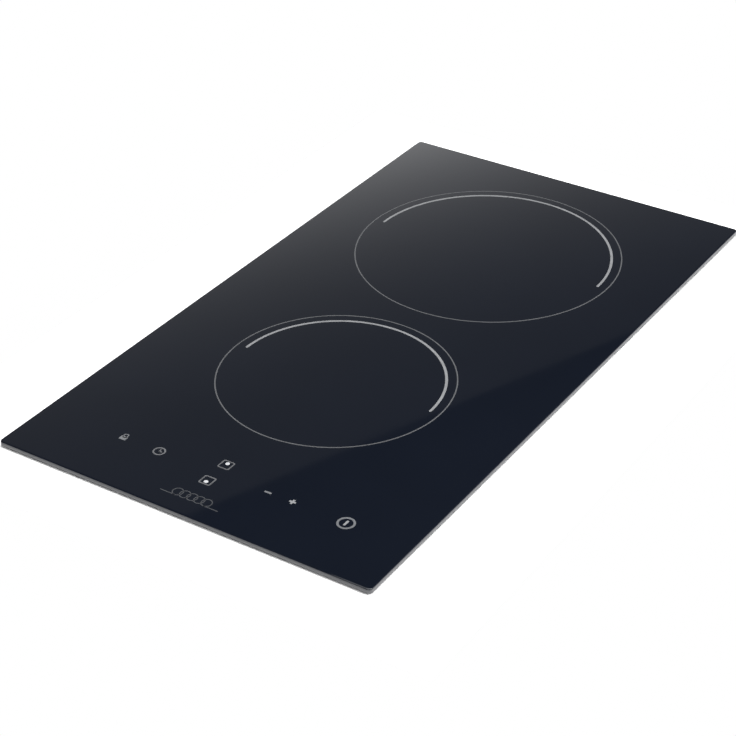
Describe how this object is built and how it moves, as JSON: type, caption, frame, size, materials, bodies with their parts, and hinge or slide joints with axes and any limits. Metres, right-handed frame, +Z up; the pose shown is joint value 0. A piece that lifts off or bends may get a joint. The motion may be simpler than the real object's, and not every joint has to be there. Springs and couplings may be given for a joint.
{
  "type": "electric induction cooktop",
  "caption": "Narrow built-in induction cooktop: black glass plate with printed cooking zones and touch keys over a shallow vented sheet-metal casing with worktop clamps.",
  "frame": {"origin": "under the middle of the casing, on the plane of its base", "axes": "+Z up through the cooking surface, +Y towards the back (away from the user), +X to the user's right"},
  "size_m": [0.288, 0.52, 0.056],
  "materials": {
    "black_glass": "gloss black glass-ceramic",
    "print": "fired grey-white enamel print",
    "seal_foam": "closed-cell foam",
    "silicone": "cured silicone",
    "zinc_sheet": "galvanised sheet steel",
    "frame_steel": "black powder coat",
    "zinc_steel": "bright zinc plate",
    "aluminium": "mill finish",
    "mica": "pressed mica sheet",
    "ferrite": "sintered ferrite",
    "former_plastic": "glass-filled polymer",
    "litz_copper": "enamelled copper litz",
    "sensor_silicone": "white silicone",
    "spring_steel": "spring steel wire",
    "board_green": "solder-masked laminate",
    "black_resin": "moulded resin",
    "film_yellow": "moulded resin box",
    "can_blue": "sleeved aluminium can",
    "module_grey": "moulded housings",
    "connector_white": "natural polyamide",
    "fan_black": "moulded fan parts",
    "terminal_grey": "flame-retardant polymer",
    "magnet": "bonded magnet",
    "bronze": "sintered bronze",
    "wire_sleeve": "heat-proof sleeves",
    "touch_foam": "conductive foam",
    "display_black": "display windows"
  },
  "bodies": {
    "casing": {"glass_top": "black_glass", "glass_print": "print", "perimeter_seal": "seal_foam", "adhesive_bead": "silicone", "glass_frame": "frame_steel", "frame_screws": "zinc_steel", "casing_tray": "zinc_sheet", "coil_deck": "aluminium", "deck_posts": "zinc_steel", "guide_pins": "zinc_steel", "fixing_screws": "zinc_steel", "power_board": "board_green", "board_standoffs": "connector_white", "heat_sink": "aluminium", "power_transistors": "black_resin", "toroid_chokes": "litz_copper", "film_capacitors": "film_yellow", "electrolytic_capacitors": "can_blue", "board_modules": "module_grey", "connectors": "connector_white", "fan_housing": "fan_black", "fan_cover": "fan_black", "fan_bearing": "bronze", "fan_stator": "zinc_steel", "terminal_box": "terminal_grey", "terminal_block": "connector_white", "terminal_screws": "zinc_steel", "cord_clamp": "terminal_grey", "cable_grommet": "seal_foam", "cover_hinge_pin": "zinc_steel", "internal_wiring": "wire_sleeve", "control_carrier": "former_plastic", "control_board": "board_green", "touch_pads": "touch_foam", "level_displays": "display_black", "clamp_brackets": "zinc_steel", "rear_coil_springs": "spring_steel", "front_coil_springs": "spring_steel"},
    "rear_coil_pack": {"rear_coil_plate": "aluminium", "rear_ferrite_bars": "ferrite", "rear_coil_former": "former_plastic", "rear_litz_coil": "litz_copper", "rear_mica_sheet": "mica", "rear_temperature_sensor": "sensor_silicone"},
    "front_coil_pack": {"front_coil_plate": "aluminium", "front_ferrite_bars": "ferrite", "front_coil_former": "former_plastic", "front_litz_coil": "litz_copper", "front_mica_sheet": "mica", "front_temperature_sensor": "sensor_silicone"},
    "fan_rotor": {"fan_impeller": "fan_black", "fan_magnet": "magnet", "fan_shaft": "zinc_steel"},
    "terminal_lid": {"terminal_cover": "terminal_grey"},
    "front_clamp_screw": {"front_clamp_screw": "zinc_steel"},
    "front_clamp_nut": {"front_clamp_nut": "zinc_steel"},
    "front_clamp_arm": {"front_clamp_arm": "zinc_steel"},
    "rear_clamp_screw": {"rear_clamp_screw": "zinc_steel"},
    "rear_clamp_nut": {"rear_clamp_nut": "zinc_steel"},
    "rear_clamp_arm": {"rear_clamp_arm": "zinc_steel"}
  },
  "joints": [
    {"name": "fan_spin", "type": "hinge", "parent": "casing", "child": "fan_rotor", "pos_m": [-0.072, 0.168, 0.016], "axis": [0, 0, 1], "continuous": true},
    {"name": "rear_coil_pack_float", "type": "slide", "parent": "casing", "child": "rear_coil_pack", "axis": [0, 0, 1], "range_m": [-0.003, 0], "stiffness_N_per_m": 2400, "springref_m": 0.006, "deforming": ["rear_coil_springs"]},
    {"name": "front_coil_pack_float", "type": "slide", "parent": "casing", "child": "front_coil_pack", "axis": [0, 0, 1], "range_m": [-0.003, 0], "stiffness_N_per_m": 2400, "springref_m": 0.006, "deforming": ["front_coil_springs"]},
    {"name": "terminal_cover_hinge", "type": "hinge", "parent": "casing", "child": "terminal_lid", "pos_m": [0.055, 0.1691, 0.003], "axis": [-1, 0, 0], "range_deg": [0, 100]},
    {"name": "front_clamp_lift", "type": "slide", "parent": "casing", "child": "front_clamp_nut", "axis": [0, 0, 1], "range_m": [0, 0.0233]},
    {"name": "front_clamp_screw_turn", "type": "hinge", "parent": "casing", "child": "front_clamp_screw", "pos_m": [0, -0.244, 0.02], "axis": [0, 0, 1], "range_deg": [0, 10490]},
    {"name": "front_clamp_swing", "type": "hinge", "parent": "front_clamp_nut", "child": "front_clamp_arm", "pos_m": [0, -0.244, 0.0107], "axis": [0, 0, 1], "range_deg": [0, 90]},
    {"name": "rear_clamp_lift", "type": "slide", "parent": "casing", "child": "rear_clamp_nut", "axis": [0, 0, 1], "range_m": [0, 0.0233]},
    {"name": "rear_clamp_screw_turn", "type": "hinge", "parent": "casing", "child": "rear_clamp_screw", "pos_m": [0, 0.244, 0.02], "axis": [0, 0, 1], "range_deg": [0, 10490]},
    {"name": "rear_clamp_swing", "type": "hinge", "parent": "rear_clamp_nut", "child": "rear_clamp_arm", "pos_m": [0, 0.244, 0.0107], "axis": [0, 0, -1], "range_deg": [0, 90]}
  ],
  "couplings": [
    {"joint": "front_clamp_screw_turn", "follows": "front_clamp_lift", "rad_per_m": 7854},
    {"joint": "rear_clamp_screw_turn", "follows": "rear_clamp_lift", "rad_per_m": 7854}
  ]
}
